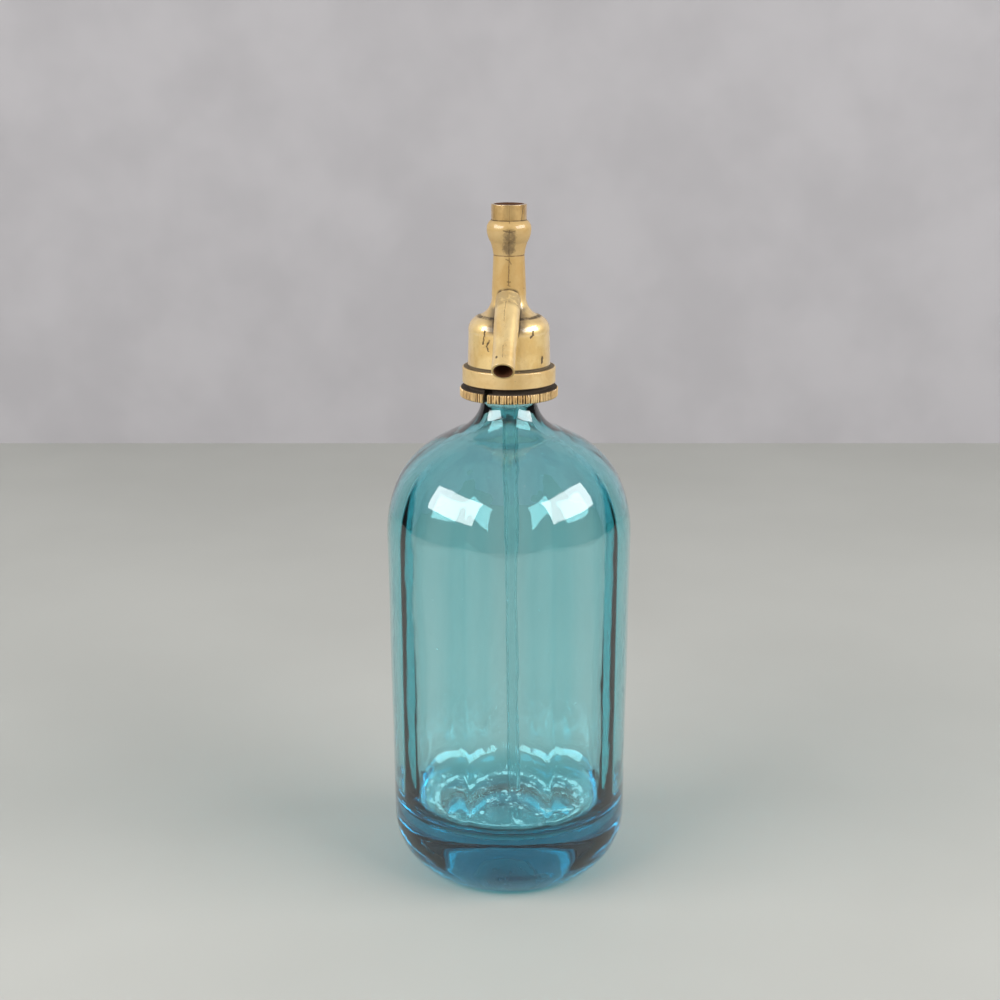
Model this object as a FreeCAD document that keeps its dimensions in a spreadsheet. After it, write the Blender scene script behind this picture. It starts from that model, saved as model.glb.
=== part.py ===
import FreeCAD, Part
import Sketcher
import math
import os
import re
from FreeCAD import Placement, Rotation, Vector

# A soda siphon: a thick glass bottle, a split neck ring and a cast brass head
# with a valve, a spring and an operating lever.
# Heights in the bottle run up from the table. Heights in the head run up from
# the top of the glass lip, and each head piece is placed there.
# The spout points along minus Y and the lever trails along plus Y.

DRIVING_SIZES = [
    # Glass bottle, outside
    ("rest_radius", 39.3, "outer edge of the flat ring the bottle stands on"),
    ("punt_radius", 33.0, "inner edge of that ring, where the kick-up starts"),
    ("punt_rise", 9.0, "height of the kick-up under the base"),
    ("heel_bend", 29.0, "radius of the outside heel"),
    ("heel_height", 24.0, "top of the outside heel"),
    ("heel_draw", 1.2, "how much narrower the wall is at the heel than at the shoulder"),
    ("body_radius", 54.0, "widest radius of the glass"),
    ("wall_height", 156.0, "top of the upright wall"),
    ("high_side_bend", 57.0, "radius of the first shoulder arc"),
    ("high_side_inset", 5.7, "how far the first shoulder arc draws in"),
    ("high_side_rise", 26.0, "height of the first shoulder arc"),
    ("crown_bend", 43.0, "radius of the second shoulder arc"),
    ("crown_run", 7.5, "from the slope's end out to the end of the second arc"),
    ("crown_rise", 42.6, "height of both shoulder arcs together"),
    ("slope_run", 11.9, "from the neck's side out to the end of the shoulder's slope"),
    ("slope_rise", 46.3, "height of the end of the slope above the wall"),
    ("neck_bend", 16.0, "radius of the hollow where the shoulder meets the neck"),
    ("neck_rise", 59.0, "height of the straight neck above the wall"),
    ("neck_radius", 12.1, "outer radius of the glass neck"),
    ("lip_overhang", 2.5, "how far the lip stands out from the neck"),
    ("lip_height", 6.8, "height of the lip"),
    ("lip_round", 1.2, "rounding of the lip's upper edge"),
    ("straight_neck", 9.2, "straight neck under the lip"),
    # Glass bottle, inside
    ("floor_height", 26.0, "inside floor above the table"),
    ("floor_bend", 10.0, "radius between the inside floor and the wall"),
    ("ridge_wall", 8.0, "glass thickness at the inward ridges"),
    ("lobe_wall", 5.5, "glass thickness at the middle of a lobe"),
    ("lobe_bend", 28.8, "radius of each inside lobe"),
    ("lobe_turn", 4.0, "angle of the first lobe's middle from the spout"),
    ("ridge_top", 6.0, "how far below the wall's top the ridges start to fade"),
    ("fade_height", 16.0, "height over which the ridges fade out"),
    ("shoulder_wall", 4.9, "glass thickness round the shoulder"),
    ("high_side_lean", 26.0, "lean of the glass at the end of the first arc, in degrees"),
    ("crown_lean", 62.0, "lean of the glass at the end of the second arc, in degrees"),
    ("mouth_bend", 18.0, "radius of the hollow where the inside meets the bore"),
    ("mouth_rise", 54.8, "foot of the straight bore above the wall"),
    ("mouth_radius", 8.2, "bore of the glass neck"),
    # Dip tube and what holds it
    ("tube_radius", 3.55, "outer radius of the dip tube"),
    ("tube_bore", 2.2, "bore radius of the dip tube"),
    ("tube_foot_gap", 7.0, "gap between the tube's foot and the floor"),
    ("tube_lean", 1.0, "lean of the dip tube, in degrees"),
    ("bush_radius", 5.5, "outer radius of the rubber bush"),
    ("bush_below", 2.0, "how far the bush hangs below the lip's top"),
    ("bush_taper", 0.6, "how much narrower the bush is at its foot"),
    ("bush_lead", 1.2, "height of the bush's tapered foot"),
    ("holder_radius", 11.0, "outer radius of the tube holder"),
    ("holder_height", 5.7, "height of the tube holder"),
    ("holder_roof", 1.2, "thickness of the holder above the bush"),
    ("holder_hole", 2.6, "radius of the hole in the holder's roof"),
    ("holder_washer_height", 0.8, "thickness of the holder's washer"),
    # Neck ring
    ("flange_step", 1.1, "how far the knurled flange stands out past the skirt"),
    ("flange_height", 4.0, "height of the knurled flange"),
    ("flange_depth", 13.0, "foot of the flange below the lip's top"),
    ("flange_bevel", 0.35, "bevel of the flange's edges"),
    ("sleeve_wall", 2.7, "wall of the ring's threaded sleeve"),
    ("sleeve_top_depth", 2.0, "top of the sleeve below the lip's top"),
    ("ring_split", 2.4, "gap between the two half rings"),
    ("ring_turn", 65.0, "angle of the split, turned from the plus X side"),
    ("liner_height", 1.6, "thickness of the liner under the lip"),
    ("knurl_depth", 0.45, "depth of a knurl groove"),
    ("knurl_width", 0.5, "width of a knurl groove at the rim"),
    # Head casting, outside
    ("skirt_depth", 7.0, "foot of the skirt below the lip's top"),
    ("skirt_wall", 2.45, "wall of the skirt round the ring's sleeve"),
    ("band_edge", 0.5, "rounding of the band's edges"),
    ("ledge_rise", 0.9, "height of the groove above the band"),
    ("ledge_groove", 0.5, "depth of the groove above the band"),
    ("ledge_bevel", 0.3, "height of the bevel over that groove"),
    ("dome_wall", 2.85, "wall of the dome round the gasket's bore"),
    ("dome_draw", 0.4, "how much narrower the dome is at its shoulder"),
    ("dome_side", 15.0, "height where the dome's shoulder starts"),
    ("dome_bend", 6.4, "radius of the dome's shoulder"),
    ("dome_top", 22.0, "height where the flare meets the dome"),
    ("flare_radius", 12.8, "radius of the flare's foot"),
    ("flare_bend", 8.6, "radius of the flare's hollow"),
    ("neck_foot", 31.0, "height where the flare meets the neck"),
    ("neck_foot_radius", 7.35, "radius of the brass neck at its foot"),
    ("neck_top", 47.5, "height of the ring line below the bulb"),
    ("neck_top_radius", 6.65, "radius of the brass neck at its top"),
    ("line_width", 0.4, "width of the ring line"),
    ("line_depth", 0.15, "depth of the ring line"),
    ("bulb_hollow_rise", 5.5, "height of the hollow below the bulb"),
    ("bulb_hollow_radius", 7.8, "radius at the top of that hollow"),
    ("bulb_hollow_bend", 22.0, "radius of that hollow"),
    ("belly_height", 58.8, "height of the bulb's widest place"),
    ("belly_radius", 9.45, "radius of the bulb's widest place"),
    ("belly_bend", 10.5, "radius of the bulb's side"),
    ("bulb_top", 62.3, "top of the bulb"),
    ("bulb_top_radius", 7.7, "radius of the bulb's top face"),
    ("bulb_crown_bend", 4.4, "radius of the bulb's crown"),
    # Head casting, inside
    ("gasket_height", 1.5, "thickness of the neck gasket"),
    ("gasket_gap", 0.4, "between the lip and the bore round the gasket"),
    ("chamber_radius", 8.2, "bore of the valve chamber"),
    ("chamber_height", 9.0, "height of the valve chamber"),
    ("seat_radius", 6.6, "outer radius of the valve seat"),
    ("seat_height", 2.5, "height of the valve seat"),
    ("seat_bore", 3.4, "bore of the valve seat"),
    ("seat_bevel", 0.4, "bevel at the foot of the seat's bore"),
    ("passage_radius", 3.9, "liquid passage round the stem"),
    ("packing_height", 3.1, "thickness of the stem packing"),
    ("packing_floor", 35.5, "height of the packing's floor"),
    ("gland_radius", 4.6, "bore that takes the packing and the gland nut"),
    ("gland_top", 47.5, "top of the gland bore"),
    ("head_bore", 4.9, "bore round the spring and the fork"),
    # Stem and valve
    ("stem_radius", 2.0, "radius of the stem"),
    ("tail_radius", 1.5, "radius of the stem's threaded tail"),
    ("tail_bevel", 0.2, "bevel of the tail's end"),
    ("tail_reach", 0.4, "tail below the nut"),
    ("rubber_radius", 5.8, "radius of the valve rubber"),
    ("rubber_height", 2.2, "thickness of the valve rubber"),
    ("cup_radius", 6.6, "radius of the valve cup"),
    ("cup_height", 1.4, "thickness of the valve cup's plate"),
    ("cup_rim", 0.9, "height of the cup's rim"),
    ("cup_bevel", 0.4, "bevel of the cup's lower edge"),
    ("nut_height", 2.0, "height of the valve nut"),
    ("nut_radius", 3.2, "corner radius of the valve nut"),
    ("fork_radius", 4.3, "radius of the stem's forked head"),
    ("fork_height", 5.5, "height of the forked head"),
    ("fork_base", 2.5, "thickness of the fork under its floor"),
    ("fork_bevel", 0.3, "bevel of the fork's lower edge"),
    ("fork_round", 0.5, "rounding of the fork's upper edge"),
    ("fork_crown", 5.0, "radius of the crowned floor in the fork"),
    # Gland and spring
    ("packing_washer_height", 0.8, "thickness of the packing washer"),
    ("gland_nut_height", 6.1, "height of the gland nut"),
    ("gland_bevel", 0.3, "bevel of the gland nut's lower edge"),
    ("gland_slot_width", 1.2, "width of the gland nut's driver slot"),
    ("gland_slot_depth", 1.0, "depth of the gland nut's driver slot"),
    ("spring_washer_height", 0.5, "thickness of the washer under the spring"),
    ("spring_radius", 3.4, "mean radius of the spring"),
    ("spring_wire", 0.4, "radius of the spring's wire"),
    ("spring_turns", 4.5, "turns of the spring"),
    # Lever, fulcrum and top collar
    ("fulcrum_height", 57.4, "height of the fulcrum pin"),
    ("fulcrum_reach", 4.9, "fulcrum pin in front of the stem"),
    ("pin_radius", 0.9, "radius of the fulcrum pin"),
    ("pin_half_length", 3.6, "half the length of the fulcrum pin"),
    ("hook_radius", 1.8, "radius of the lever's end round the pin"),
    ("blade_height", 2.6, "height of the lever's blade"),
    ("blade_half_width", 1.6, "half the width of the lever's blade"),
    ("slot_half_width", 1.9, "half the width of the slots the blade runs in"),
    ("slot_foot", 51.5, "foot of the slot in the back of the bulb"),
    ("shank_half_width", 3.2, "half the width of the lever's shank"),
    ("blade_end", 16.0, "distance from the pin to the end of the blade"),
    ("bow_start", 19.0, "distance from the pin to the start of the lever's bow"),
    ("bow_radius", 16.0, "radius of the lever's bow"),
    ("bow_angle", 68.0, "slope of the lever's tail, in degrees"),
    ("tail_length", 41.0, "length of the lever's straight tail"),
    ("tip_flat", 0.5, "how much flatter than a half circle the lever's end is"),
    ("tail_half_width", 6.5, "half the width of the thumb pad"),
    ("pad_height", 6.0, "height of the thumb pad"),
    ("pad_taper", 12.0, "height over which the shank widens to the pad"),
    ("counterbore_radius", 6.9, "bore that takes the top collar"),
    ("collar_radius", 7.55, "outer radius of the top collar"),
    ("collar_height", 6.7, "height of the collar above the bulb"),
    ("collar_round", 0.3, "rounding of the collar's upper edge"),
    ("socket_radius", 6.2, "bore of the open socket"),
    ("socket_floor", 60.6, "height of the socket's floor"),
    # Spout
    ("spout_radius", 5.4, "outer radius of the spout at its root"),
    ("spout_tip_radius", 4.9, "outer radius of the spout at its tip"),
    ("spout_round", 0.2, "rounding of the spout's mouth"),
    ("spout_bore", 3.4, "bore of the spout behind its mouth"),
    ("mouth_bore", 3.9, "bore of the spout's mouth"),
    ("mouth_depth", 12.0, "depth of that wider bore"),
    ("spout_port", 3.0, "radius of the hole from the passage into the spout"),
    ("port_overrun", 6.0, "how far that hole's drill runs into the spout's socket"),
    ("spout_root", 20.0, "length of the spout before it tapers"),
    ("spout_mouth", 10.0, "length of the straight mouth of the spout"),
    ("seat_cover", 0.6, "brass between the valve seat and the spout's root"),
    ("spout_slope", 39.0, "slope of the spout below level, in degrees"),
    ("spout_reach", 45.0, "length of the spout's axis from the stem's axis"),
    ("saddle_step", 0.3, "how much wider than the spout the wall is that its root seats on"),
    # Clearances
    ("thread_gap", 0.1, "between a thread's outer and inner cylinders"),
    ("running_gap", 0.06, "round a shaft that moves in its hole"),
    ("press_gap", 0.02, "round a piece that is pressed or soldered in"),
    ("rubber_gap", 0.15, "round a rubber or fibre piece that isn't squeezed"),
    ("working_gap", 0.3, "between pieces that move past each other"),
    ("rest_gap", 0.1, "between the lever and the fork at rest"),
    ("cut_past", 1.0, "how far a slot's cutter runs past the face it enters"),
]

LOBES = 8
KNURL_GROOVES = 116
SPRING_SAMPLES = 400

# Heights and radii that follow from the driving sizes, as formulas.
DERIVED_SIZES = {
    "lip_top": "wall_height + neck_rise + straight_neck + lip_height",
    "slope_radius": "neck_radius + slope_run",
    "crown_radius": "slope_radius + crown_run",
    "lip_radius": "neck_radius + lip_overhang",
    "ridge_radius": "body_radius - ridge_wall",
    "lobe_radius": "body_radius - lobe_wall",
    "lobe_offset": "lobe_radius - lobe_bend",
    "lip_bore": "lip_radius + working_gap",
    "gasket_bore": "lip_radius + gasket_gap",
    "sleeve_radius": "lip_bore + sleeve_wall",
    "skirt_bore": "sleeve_radius + thread_gap",
    "band_radius": "skirt_bore + skirt_wall",
    "flange_radius": "band_radius + flange_step",
    "dome_foot_radius": "gasket_bore + dome_wall",
    "holder_washer_foot": "gasket_height + holder_height",
    "chamber_floor": "holder_washer_foot + holder_washer_height",
    "seat_face": "chamber_floor + chamber_height",
    "seat_top": "seat_face + seat_height",
    "spout_saddle": "spout_radius + saddle_step",
    "spout_height": "seat_top + seat_cover + spout_radius / cos(spout_slope) + "
                    "seat_radius * tan(spout_slope)",
    "packing_top": "packing_floor + packing_height",
    "gland_foot": "packing_top + packing_washer_height",
    "gland_nut_top": "gland_foot + gland_nut_height",
    "spring_foot": "gland_nut_top + spring_washer_height",
    "blade_foot": "fulcrum_height - blade_height / 2",
    "blade_top": "fulcrum_height + blade_height / 2",
    "fork_floor": "blade_foot - rest_gap",
    "fork_foot": "fork_floor - fork_base",
}

SHEET = "sizes"


def formula(text):
    """Expand derived names and point every driving name at the sheet."""
    driving = {name for name, _, _ in DRIVING_SIZES}

    def swap(match):
        word = match.group(0)
        if word in DERIVED_SIZES:
            return "(" + formula(DERIVED_SIZES[word]) + ")"
        if word in driving:
            return SHEET + "." + word
        return word

    return re.sub(r"[a-z_]+", swap, text)


def size(text):
    """The present value of a formula, in millimetres or degrees."""
    result = sheet.evalExpression(formula(text).replace(SHEET + ".", ""))
    return float(getattr(result, "Value", result))


def bind(target, **properties):
    """Bind properties of an object to formulas."""
    for name, text in properties.items():
        target.setExpression(name, formula(text))


def place(target, x="0", y="0", z="0"):
    """Bind an object's position to formulas."""
    target.setExpression("Placement.Base.x", formula(x))
    target.setExpression("Placement.Base.y", formula(y))
    target.setExpression("Placement.Base.z", formula(z))


def on_head(target):
    """Place a piece whose heights run up from the top of the glass lip."""
    place(target, z="lip_top")


def new_body(label):
    """A body whose label is its file's name."""
    body = doc.addObject("PartDesign::Body", label)
    body.Label = label
    pieces.append(body)
    return body


def origin_of(body, role):
    """An origin plane or axis of a body."""
    return next(item for item in body.Origin.OriginFeatures if item.Role == role)


def arc_between(start, end, radius, turn):
    """The arc of under a half circle from start to end, turning left or right."""
    chord = end - start
    middle = (start + end) * 0.5
    left = Vector(-chord.y, chord.x, 0).normalize()
    offset = math.sqrt(max(0, radius ** 2 - (chord.Length / 2) ** 2))
    side = 1 if turn == "left" else -1
    centre = middle + left * (offset * side)
    first, last = (start, end) if turn == "left" else (end, start)
    begin = math.atan2(first.y - centre.y, first.x - centre.x)
    finish = math.atan2(last.y - centre.y, last.x - centre.x)
    if finish < begin:
        finish += 2 * math.pi
    return Part.ArcOfCircle(Part.Circle(centre, Vector(0, 0, 1), radius), begin, finish)


def pin_point(sketch, geometry, point, x, y, tag):
    """Hold one sketch point at a bound place."""
    for kind, text, axis in (("DistanceX", x, -2), ("DistanceY", y, -1)):
        if text == "0":
            sketch.addConstraint(Sketcher.Constraint("PointOnObject", geometry, point, axis))
            continue
        index = sketch.addConstraint(
            Sketcher.Constraint(kind, -1, 1, geometry, point, size(text))
        )
        name = kind[-1].lower() + tag
        sketch.renameConstraint(index, name)
        sketch.setExpression("Constraints." + name, formula(text))


def outline(sketch, corners, tag="p"):
    """Draw one closed outline. A corner is (x, y), or (x, y, radius, turn) for an arc to it."""
    points = [Vector(size(corner[0]), size(corner[1]), 0) for corner in corners]
    ends = []
    for number, corner in enumerate(corners):
        start = points[number - 1]
        end = points[number]
        if len(corner) == 2:
            geometry = sketch.addGeometry(Part.LineSegment(start, end), False)
            ends.append((geometry, 1, 2))
            continue
        radius, turn = corner[2], corner[3]
        geometry = sketch.addGeometry(arc_between(start, end, size(radius), turn), False)
        ends.append((geometry, 1, 2) if turn == "left" else (geometry, 2, 1))
        index = sketch.addConstraint(Sketcher.Constraint("Radius", geometry, size(radius)))
        name = "r" + tag + str(number)
        sketch.renameConstraint(index, name)
        sketch.setExpression("Constraints." + name, formula(radius))
    for number, corner in enumerate(corners):
        geometry, _, last = ends[number]
        follower, first, _ = ends[(number + 1) % len(corners)]
        sketch.addConstraint(Sketcher.Constraint("Coincident", geometry, last, follower, first))
        pin_point(sketch, geometry, last, corner[0], corner[1], tag + str(number))


def new_sketch(body, name, plane="XZ_Plane"):
    """A sketch on one of its body's origin planes."""
    sketch = body.newObject("Sketcher::SketchObject", body.Name + "_" + name)
    sketch.AttachmentSupport = [(origin_of(body, plane), "")]
    sketch.MapMode = "FlatFace"
    doc.recompute()
    return sketch


def revolve(body, name, corners, kind="Revolution"):
    """Turn an outline of radius and height corners about the body's axis."""
    sketch = new_sketch(body, name + "_outline")
    outline(sketch, corners)
    feature = body.newObject("PartDesign::" + kind, body.Name + "_" + name)
    feature.Profile = sketch
    feature.ReferenceAxis = (sketch, ["V_Axis"])
    feature.Angle = 360
    sketch.Visibility = False
    doc.recompute()
    return feature


def circle(sketch, x, y, radius, tag="c"):
    """Draw a bound circle."""
    centre = Vector(size(x), size(y), 0)
    geometry = sketch.addGeometry(Part.Circle(centre, Vector(0, 0, 1), size(radius)), False)
    index = sketch.addConstraint(Sketcher.Constraint("Radius", geometry, size(radius)))
    sketch.renameConstraint(index, "r" + tag)
    sketch.setExpression("Constraints.r" + tag, formula(radius))
    pin_point(sketch, geometry, 3, x, y, tag)


def pocket_through(body, sketch, width):
    """Cut a sketch through the body, evenly to both sides of its plane."""
    before = body.Shape.Volume
    feature = body.newObject("PartDesign::Pocket", sketch.Name + "_pocket")
    feature.Profile = sketch
    feature.SideType = "Symmetric"
    bind(feature, Length=width)
    doc.recompute()
    if not body.Shape.Volume < before:
        raise RuntimeError(feature.Name + " cuts nothing")
    return feature


def ring(label, outer, inner, foot, height):
    """A plain ring in the head, from two cylinders."""
    solids = []
    for part, radius in (("outer", outer), ("bore", inner)):
        cylinder = doc.addObject("Part::Cylinder", label + "_" + part)
        bind(cylinder, Radius=radius, Height=height)
        solids.append(cylinder)
    cut = doc.addObject("Part::Cut", label)
    cut.Label = label
    cut.Base, cut.Tool = solids
    place(cut, z="lip_top + " + foot)
    pieces.append(cut)
    return cut


def make_bottle():
    """The glass: outside, round inside, then the inside lobes."""
    body = new_body("bottle")
    revolve(body, "glass", [
        ("0", "punt_rise"),
        ("punt_radius", "0", "(punt_radius ^ 2 + punt_rise ^ 2) / 2 / punt_rise", "right"),
        ("rest_radius", "0"),
        ("body_radius - heel_draw", "heel_height", "heel_bend", "left"),
        ("body_radius", "wall_height"),
        ("body_radius - high_side_inset", "wall_height + high_side_rise",
         "high_side_bend", "left"),
        ("crown_radius", "wall_height + crown_rise", "crown_bend", "left"),
        ("slope_radius", "wall_height + slope_rise"),
        ("neck_radius", "wall_height + neck_rise", "neck_bend", "right"),
        ("neck_radius", "lip_top - lip_height"),
        ("lip_radius", "lip_top - lip_height"),
        ("lip_radius", "lip_top - lip_round"),
        ("lip_radius - lip_round", "lip_top", "lip_round", "left"),
        ("0", "lip_top"),
    ])
    revolve(body, "hollow", [
        ("0", "floor_height"),
        ("ridge_radius - floor_bend", "floor_height"),
        ("ridge_radius", "floor_height + floor_bend", "floor_bend", "left"),
        ("ridge_radius", "wall_height - ridge_top"),
        ("body_radius - shoulder_wall", "wall_height - ridge_top + fade_height"),
        ("body_radius - high_side_inset - shoulder_wall * cos(high_side_lean)",
         "wall_height + high_side_rise - shoulder_wall * sin(high_side_lean)",
         "high_side_bend - shoulder_wall", "left"),
        ("crown_radius - shoulder_wall * cos(crown_lean)",
         "wall_height + crown_rise - shoulder_wall * sin(crown_lean)",
         "crown_bend - shoulder_wall", "left"),
        ("slope_radius - shoulder_wall * cos(crown_lean)",
         "wall_height + slope_rise - shoulder_wall * sin(crown_lean)"),
        ("mouth_radius", "wall_height + mouth_rise", "mouth_bend", "right"),
        ("mouth_radius", "lip_top"),
        ("0", "lip_top"),
    ], "Groove")
    sketch = new_sketch(body, "lobe_outline")
    outline(sketch, [
        ("lobe_offset", "floor_height"),
        ("lobe_radius - floor_bend", "floor_height"),
        ("lobe_radius", "floor_height + floor_bend", "floor_bend", "left"),
        ("lobe_radius", "wall_height - ridge_top"),
        ("lobe_offset", "wall_height - ridge_top + fade_height",
         "(lobe_bend ^ 2 + fade_height ^ 2) / 2 / fade_height", "left"),
    ])
    axis = sketch.addGeometry(Part.LineSegment(
        Vector(size("lobe_offset"), size("floor_height"), 0),
        Vector(size("lobe_offset"), size("wall_height"), 0)), True)
    sketch.addConstraint(Sketcher.Constraint("Vertical", axis))
    pin_point(sketch, axis, 1, "lobe_offset", "floor_height", "axis")
    groove = body.newObject("PartDesign::Groove", "bottle_lobe")
    groove.Profile = sketch
    groove.ReferenceAxis = (sketch, ["Axis0"])
    groove.Angle = 360
    doc.recompute()
    pattern = body.newObject("PartDesign::PolarPattern", "bottle_lobes")
    pattern.Originals = [groove]
    pattern.Axis = (origin_of(body, "Z_Axis"), [""])
    pattern.Angle = 360
    pattern.Occurrences = LOBES
    body.Tip = pattern
    body.Placement.Rotation = Rotation(Vector(0, 0, 1), -90 + size("lobe_turn"))


def make_dip_tube():
    """The glass tube and its rubber bush, which lean together."""
    lean = Rotation(Vector(0, 1, 0), -size("tube_lean"))
    tube_foot = "floor_height + tube_foot_gap - lip_top"
    bush_top = "gasket_height + holder_height - holder_roof - rubber_gap"
    tube = new_body("dip_tube")
    revolve(tube, "glass", [
        ("tube_radius", tube_foot),
        ("tube_radius", bush_top),
        ("tube_bore", bush_top),
        ("tube_bore", tube_foot),
    ])
    bush = new_body("tube_bush")
    revolve(bush, "rubber", [
        ("tube_radius + press_gap", "-bush_below"),
        ("bush_radius - bush_taper", "-bush_below"),
        ("bush_radius", "-bush_below + bush_lead"),
        ("bush_radius", bush_top),
        ("tube_radius + press_gap", bush_top),
    ])
    for body in (tube, bush):
        body.Placement = Placement(Vector(0, 0, 0), lean)
        on_head(body)


def make_tube_holder():
    """The brass plug that screws up into the head, and its washer."""
    body = new_body("tube_holder")
    roof = "holder_washer_foot - holder_roof"
    revolve(body, "brass", [
        ("bush_radius + rubber_gap", "gasket_height"),
        ("holder_radius", "gasket_height"),
        ("holder_radius", "holder_washer_foot"),
        ("holder_hole", "holder_washer_foot"),
        ("holder_hole", roof),
        ("bush_radius + rubber_gap", roof),
    ])
    on_head(body)
    ring("holder_washer", "holder_radius - rubber_gap", "chamber_radius",
         "holder_washer_foot", "holder_washer_height")
    ring("neck_gasket", "lip_radius", "mouth_radius", "0", "gasket_height")


def make_neck_ring():
    """Two half rings with a knurled flange, and the liner on their shoulder."""
    bore = "neck_radius + working_gap"
    shoulder = "-lip_height - liner_height"
    for label, turn in (("ring_half_left", 180), ("ring_half_right", 0)):
        body = new_body(label)
        revolve(body, "brass", [
            (bore, "-flange_depth"),
            ("flange_radius - flange_bevel", "-flange_depth"),
            ("flange_radius", "-flange_depth + flange_bevel"),
            ("flange_radius", "-flange_depth + flange_height - flange_bevel"),
            ("flange_radius - flange_bevel", "-flange_depth + flange_height"),
            ("sleeve_radius", "-flange_depth + flange_height"),
            ("sleeve_radius", "-sleeve_top_depth"),
            ("lip_bore", "-sleeve_top_depth"),
            ("lip_bore", shoulder),
            (bore, shoulder),
        ])
        knurl = new_sketch(body, "knurl", "XY_Plane")
        outline(knurl, [
            ("-knurl_width", "flange_radius + knurl_depth"),
            ("0", "flange_radius - knurl_depth"),
            ("knurl_width", "flange_radius + knurl_depth"),
        ])
        groove = pocket_through(body, knurl, "2 * flange_depth")
        pattern = body.newObject("PartDesign::PolarPattern", label + "_knurls")
        pattern.Originals = [groove]
        pattern.Axis = (origin_of(body, "Z_Axis"), [""])
        pattern.Angle = 360
        pattern.Occurrences = KNURL_GROOVES
        body.Tip = pattern
        doc.recompute()
        half = new_sketch(body, "half", "XY_Plane")
        outline(half, [
            ("-2 * flange_radius", "ring_split / 2"),
            ("-2 * flange_radius", "-2 * flange_radius"),
            ("2 * flange_radius", "-2 * flange_radius"),
            ("2 * flange_radius", "ring_split / 2"),
        ])
        pocket_through(body, half, "4 * flange_depth")
        body.Placement.Rotation = Rotation(Vector(0, 0, 1), size("ring_turn") + turn)
        on_head(body)
    ring("ring_liner", "lip_bore - rubber_gap", "neck_radius + rubber_gap",
         "(" + shoulder + ")", "liner_height")


def make_head_body():
    """The casting: outside, then bores from below and above, slot and spout socket."""
    body = new_body("head_casting")
    pieces.remove(body)
    foot = "-skirt_depth"
    revolve(body, "outside", [
        ("0", foot),
        ("band_radius - band_edge", foot),
        ("band_radius", foot + " + band_edge", "band_edge", "left"),
        ("band_radius", "-band_edge"),
        ("band_radius - band_edge", "0", "band_edge", "left"),
        ("dome_foot_radius - ledge_groove", "0"),
        ("dome_foot_radius - ledge_groove", "ledge_rise - ledge_bevel"),
        ("dome_foot_radius", "ledge_rise"),
        ("dome_foot_radius - dome_draw", "dome_side"),
        ("flare_radius", "dome_top", "dome_bend", "left"),
        ("neck_foot_radius", "neck_foot", "flare_bend", "right"),
        ("neck_top_radius", "neck_top"),
        ("neck_top_radius - line_depth", "neck_top + line_width / 2"),
        ("neck_top_radius", "neck_top + line_width"),
        ("bulb_hollow_radius", "neck_top + bulb_hollow_rise", "bulb_hollow_bend", "right"),
        ("belly_radius", "belly_height", "belly_bend", "left"),
        ("bulb_top_radius", "bulb_top", "bulb_crown_bend", "left"),
        ("0", "bulb_top"),
    ])
    gasket_floor = "-sleeve_top_depth + working_gap"
    revolve(body, "lower_bores", [
        ("0", foot),
        ("skirt_bore", foot),
        ("skirt_bore", gasket_floor),
        ("gasket_bore", gasket_floor),
        ("gasket_bore", "gasket_height"),
        ("holder_radius + press_gap", "gasket_height"),
        ("holder_radius + press_gap", "chamber_floor"),
        ("chamber_radius", "chamber_floor"),
        ("chamber_radius", "seat_face"),
        ("seat_radius + press_gap", "seat_face"),
        ("seat_radius + press_gap", "seat_top"),
        ("passage_radius", "seat_top"),
        ("passage_radius", "packing_floor"),
        ("0", "packing_floor"),
    ], "Groove")
    revolve(body, "upper_bores", [
        ("0", "packing_floor"),
        ("gland_radius", "packing_floor"),
        ("gland_radius", "gland_top"),
        ("head_bore", "gland_top"),
        ("head_bore", "fulcrum_height"),
        ("counterbore_radius", "fulcrum_height"),
        ("counterbore_radius", "bulb_top"),
        ("0", "bulb_top"),
    ], "Groove")
    slot = new_sketch(body, "lever_slot", "YZ_Plane")
    front = "-fulcrum_reach - hook_radius - working_gap"
    outline(slot, [
        (front, "fulcrum_height - hook_radius - working_gap"),
        ("0", "fulcrum_height - hook_radius - working_gap"),
        ("0", "slot_foot"),
        ("2 * belly_radius", "slot_foot"),
        ("2 * belly_radius", "blade_top + working_gap"),
        (front, "blade_top + working_gap"),
    ])
    pocket_through(body, slot, "2 * slot_half_width")
    grooves = new_sketch(body, "pin_groove", "YZ_Plane")
    circle(grooves, "-fulcrum_reach", "fulcrum_height", "pin_radius + press_gap")
    pocket_through(body, grooves, "2 * (pin_half_length + press_gap)")
    on_head(body)
    socket = spout_cylinder("spout_socket", "spout_radius + press_gap",
                            "spout_reach", "spout_saddle - press_gap")
    port = doc.addObject("Part::Cylinder", "spout_port")
    bind(port, Radius="spout_port", Height="spout_saddle / cos(spout_slope) + port_overrun")
    lay_on_spout_axis(port)
    bored = doc.addObject("Part::Cut", "head_bored")
    bored.Base = body
    bored.Tool = socket
    head = doc.addObject("Part::Cut", "head_body")
    head.Label = "head_body"
    head.Base = bored
    head.Tool = port
    pieces.append(head)


def lay_on_spout_axis(target):
    """Turn an upright piece so that its axis runs down and out along the spout."""
    tilt = Rotation(Vector(1, 0, 0), 90 + size("spout_slope"))
    target.Placement = Placement(Vector(0, 0, 0), tilt)
    place(target, z="lip_top + spout_height")


def saddle(label, radius):
    """An upright cylinder round the stem's axis, where the spout's root seats."""
    cylinder = doc.addObject("Part::Cylinder", label)
    bind(cylinder, Radius=radius, Height="belly_height")
    on_head(cylinder)
    return cylinder


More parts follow.
